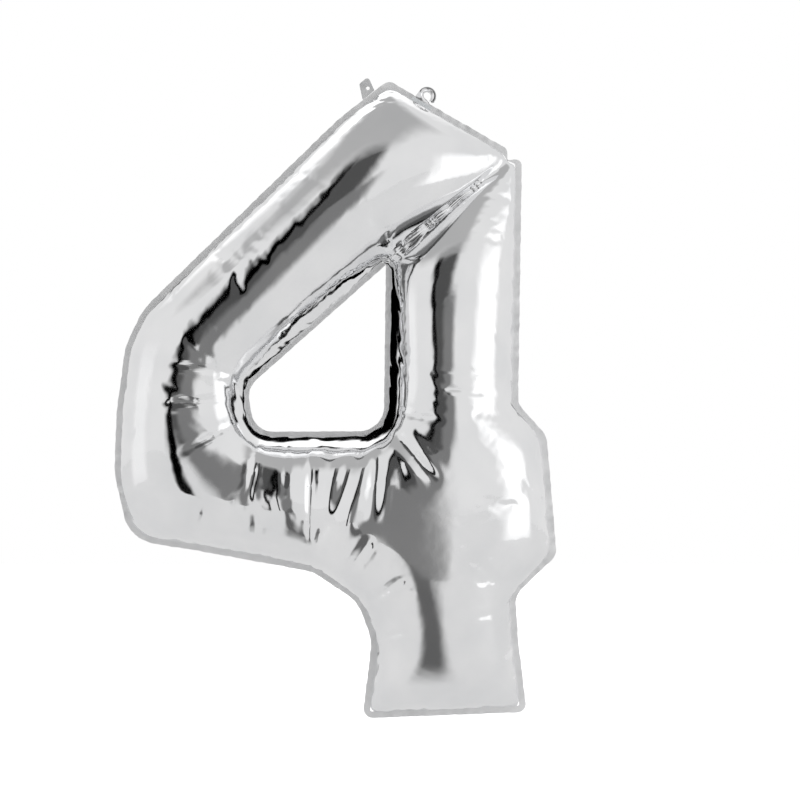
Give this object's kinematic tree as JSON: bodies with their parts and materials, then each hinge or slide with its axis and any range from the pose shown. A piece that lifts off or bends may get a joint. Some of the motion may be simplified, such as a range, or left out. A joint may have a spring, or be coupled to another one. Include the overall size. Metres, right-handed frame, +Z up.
{
  "type": "foil number balloon",
  "caption": "Air-filled foil balloon shaped as the numeral 4: two welded film panels, a flat self-sealing valve, an inflation tail and a hang tab.",
  "frame": {"origin": "centre of the hang tab's hole, in the middle plane of the weld", "axes": "+Z up the balloon, +X to the numeral's right as read, -Y towards the reader"},
  "size_m": [0.604, 0.187, 0.8706],
  "materials": {
    "foil": "mirror-bright metallised film, finely crinkled",
    "weld": "puckered heat-sealed film edge",
    "flap_film": "flat bright film with soft creases",
    "valve_film": "milky polyethylene film",
    "release_print": "heat-resistant print"
  },
  "bodies": {
    "hang_tab": {"hang_tab": "flap_film"},
    "balloon": {"front_foil": "foil", "back_foil": "foil", "outer_seam": "weld", "counter_seam": "weld", "valve_front_film": "valve_film", "valve_back_film": "valve_film", "valve_release_patch": "release_print"},
    "inflation_tail": {"tail_front_film": "flap_film", "tail_back_film": "flap_film"}
  },
  "joints": [
    {"name": "tab_crease", "type": "hinge", "parent": "hang_tab", "child": "balloon", "pos_m": [0.00142, 0, -0.00967], "axis": [0.7756, 0, 0.6312], "range_deg": [-80, 80]},
    {"name": "tail_crease", "type": "hinge", "parent": "balloon", "child": "inflation_tail", "pos_m": [0.07406, 0, -0.01773], "axis": [0.87, 0, -0.4931], "range_deg": [-85, 85], "stiffness_Nm_per_rad": 0.0005}
  ]
}
